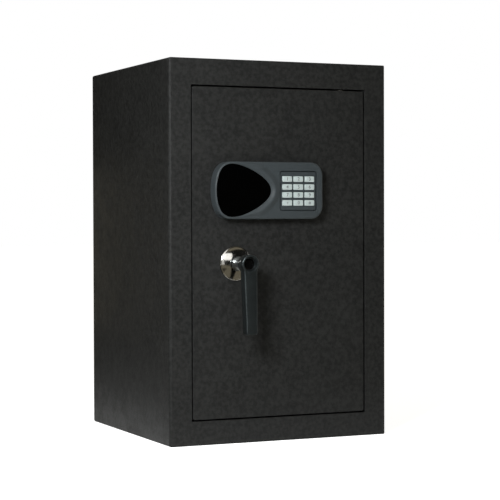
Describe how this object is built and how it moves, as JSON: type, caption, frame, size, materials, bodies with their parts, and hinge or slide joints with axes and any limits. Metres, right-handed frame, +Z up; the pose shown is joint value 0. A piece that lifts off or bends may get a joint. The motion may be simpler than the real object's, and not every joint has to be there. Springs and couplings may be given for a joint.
{
  "type": "in room safe",
  "caption": "Upright in-room security safe: black textured steel cabinet, inset hinged door, electronic lock panel with keypad and lens, lever handle that throws the bolts, removable shelf.",
  "frame": {"origin": "centre of the floor anchor hole pattern, on the underside of the cabinet", "axes": "+Z up, -Y towards the door side (front), +X to the right seen from the front, which is the hinge side"},
  "size_m": [0.315, 0.353, 0.5],
  "materials": {
    "cabinet_paint": "black textured powder coat",
    "panel_plastic": "fine satin, dark blue-grey",
    "lens_black": "high gloss black",
    "key_plastic": "satin pale grey",
    "cap_black": "gloss black",
    "chrome_plate": "polished chrome",
    "lever_metal": "satin nickel, dark",
    "zinc_steel": "zinc-plated mild steel",
    "bright_steel": "bright turned steel",
    "brass": "turned brass",
    "copper_wire": "enamelled copper winding",
    "felt": "needle felt, dark grey",
    "board_green": "solder mask",
    "rubber_black": "soft moulded rubber",
    "box_black": "moulded ABS",
    "cell_wrap": "plain cell sleeve",
    "button_red": "red moulded plastic",
    "wire_red": "insulated wire"
  },
  "bodies": {
    "cabinet": {"body_shell": "cabinet_paint", "back_panel": "cabinet_paint", "jamb_latch": "cabinet_paint", "jamb_hinge": "cabinet_paint", "jamb_head": "cabinet_paint", "jamb_sill": "cabinet_paint", "hinge_pins": "bright_steel", "shelf_brackets": "cabinet_paint", "floor_mat": "felt"},
    "shelf": {"shelf_panel": "cabinet_paint", "shelf_mat": "felt"},
    "door": {"door_plate": "cabinet_paint", "bolt_stile": "zinc_steel", "hinge_blocks": "zinc_steel", "hinge_bushes": "brass", "inner_cover": "cabinet_paint", "cover_screws": "zinc_steel", "lock_housing": "panel_plastic", "housing_gasket": "rubber_black", "display_module": "box_black", "keypad_membrane": "rubber_black", "lock_board": "board_green", "housing_screws": "zinc_steel", "battery_box": "box_black", "battery_cells": "cell_wrap", "battery_contacts": "bright_steel", "solenoid_frame": "zinc_steel", "solenoid_coil": "copper_wire", "rosette": "chrome_plate", "spindle_bush": "brass", "override_cylinder": "chrome_plate", "override_nut": "brass", "lock_harness": "wire_red", "cable_grommet": "rubber_black"},
    "handle": {"handle_lever": "lever_metal", "hub_cap": "cap_black", "lever_screw": "zinc_steel", "spindle": "bright_steel", "spindle_cam": "zinc_steel", "spindle_clip": "bright_steel"},
    "bolts": {"bolt_carriage": "zinc_steel", "locking_bolts": "chrome_plate"},
    "plunger": {"solenoid_plunger": "bright_steel", "plunger_spring": "bright_steel"},
    "override": {"override_plug": "brass"},
    "lens": {"display_lens": "lens_black"},
    "battery_lid": {"battery_cover": "box_black"},
    "reset": {"reset_button": "button_red"},
    "key_1_cap": {"key_1": "key_plastic"},
    "key_2_cap": {"key_2": "key_plastic"},
    "key_3_cap": {"key_3": "key_plastic"},
    "key_4_cap": {"key_4": "key_plastic"},
    "key_5_cap": {"key_5": "key_plastic"},
    "key_6_cap": {"key_6": "key_plastic"},
    "key_7_cap": {"key_7": "key_plastic"},
    "key_8_cap": {"key_8": "key_plastic"},
    "key_9_cap": {"key_9": "key_plastic"},
    "key_star_cap": {"key_star": "key_plastic"},
    "key_0_cap": {"key_0": "key_plastic"},
    "key_hash_cap": {"key_hash": "key_plastic"}
  },
  "joints": [
    {"name": "door_swing", "type": "hinge", "parent": "cabinet", "child": "door", "pos_m": [0.09417, -0.1395, 0.2485], "axis": [0, 0, 1], "range_deg": [0, 105]},
    {"name": "handle_turn", "type": "hinge", "parent": "door", "child": "handle", "pos_m": [-0.0645, -0.149, 0.235], "axis": [0, -1, 0], "range_deg": [0, 90]},
    {"name": "bolt_slide", "type": "slide", "parent": "door", "child": "bolts", "axis": [-1, 0, 0], "range_m": [0, 0.0201]},
    {"name": "plunger_slide", "type": "slide", "parent": "door", "child": "plunger", "axis": [0, 0, -1], "range_m": [0, 0.006], "deforming": ["plunger_spring"]},
    {"name": "override_turn", "type": "hinge", "parent": "door", "child": "override", "pos_m": [-0.074, -0.149, 0.3325], "axis": [0, 1, 0], "range_deg": [0, 90]},
    {"name": "lens_pull", "type": "slide", "parent": "door", "child": "lens", "axis": [0, -1, 0], "range_m": [0, 0.008]},
    {"name": "battery_lid_slide", "type": "slide", "parent": "door", "child": "battery_lid", "axis": [1, 0, 0], "range_m": [0, 0.01]},
    {"name": "reset_press", "type": "slide", "parent": "door", "child": "reset", "axis": [0, -1, 0], "range_m": [0, 0.0015], "stiffness_N_per_m": 300},
    {"name": "shelf_lift", "type": "slide", "parent": "cabinet", "child": "shelf", "axis": [0, 0, 1], "range_m": [0, 0.012]},
    {"name": "key_1_press", "type": "slide", "parent": "door", "child": "key_1_cap", "axis": [0, 1, 0], "range_m": [0, 0.0012], "stiffness_N_per_m": 300},
    {"name": "key_2_press", "type": "slide", "parent": "door", "child": "key_2_cap", "axis": [0, 1, 0], "range_m": [0, 0.0012], "stiffness_N_per_m": 300},
    {"name": "key_3_press", "type": "slide", "parent": "door", "child": "key_3_cap", "axis": [0, 1, 0], "range_m": [0, 0.0012], "stiffness_N_per_m": 300},
    {"name": "key_4_press", "type": "slide", "parent": "door", "child": "key_4_cap", "axis": [0, 1, 0], "range_m": [0, 0.0012], "stiffness_N_per_m": 300},
    {"name": "key_5_press", "type": "slide", "parent": "door", "child": "key_5_cap", "axis": [0, 1, 0], "range_m": [0, 0.0012], "stiffness_N_per_m": 300},
    {"name": "key_6_press", "type": "slide", "parent": "door", "child": "key_6_cap", "axis": [0, 1, 0], "range_m": [0, 0.0012], "stiffness_N_per_m": 300},
    {"name": "key_7_press", "type": "slide", "parent": "door", "child": "key_7_cap", "axis": [0, 1, 0], "range_m": [0, 0.0012], "stiffness_N_per_m": 300},
    {"name": "key_8_press", "type": "slide", "parent": "door", "child": "key_8_cap", "axis": [0, 1, 0], "range_m": [0, 0.0012], "stiffness_N_per_m": 300},
    {"name": "key_9_press", "type": "slide", "parent": "door", "child": "key_9_cap", "axis": [0, 1, 0], "range_m": [0, 0.0012], "stiffness_N_per_m": 300},
    {"name": "key_star_press", "type": "slide", "parent": "door", "child": "key_star_cap", "axis": [0, 1, 0], "range_m": [0, 0.0012], "stiffness_N_per_m": 300},
    {"name": "key_0_press", "type": "slide", "parent": "door", "child": "key_0_cap", "axis": [0, 1, 0], "range_m": [0, 0.0012], "stiffness_N_per_m": 300},
    {"name": "key_hash_press", "type": "slide", "parent": "door", "child": "key_hash_cap", "axis": [0, 1, 0], "range_m": [0, 0.0012], "stiffness_N_per_m": 300}
  ],
  "couplings": [
    {"joint": "bolt_slide", "follows": "handle_turn", "m_per_rad": 0.012732}
  ]
}
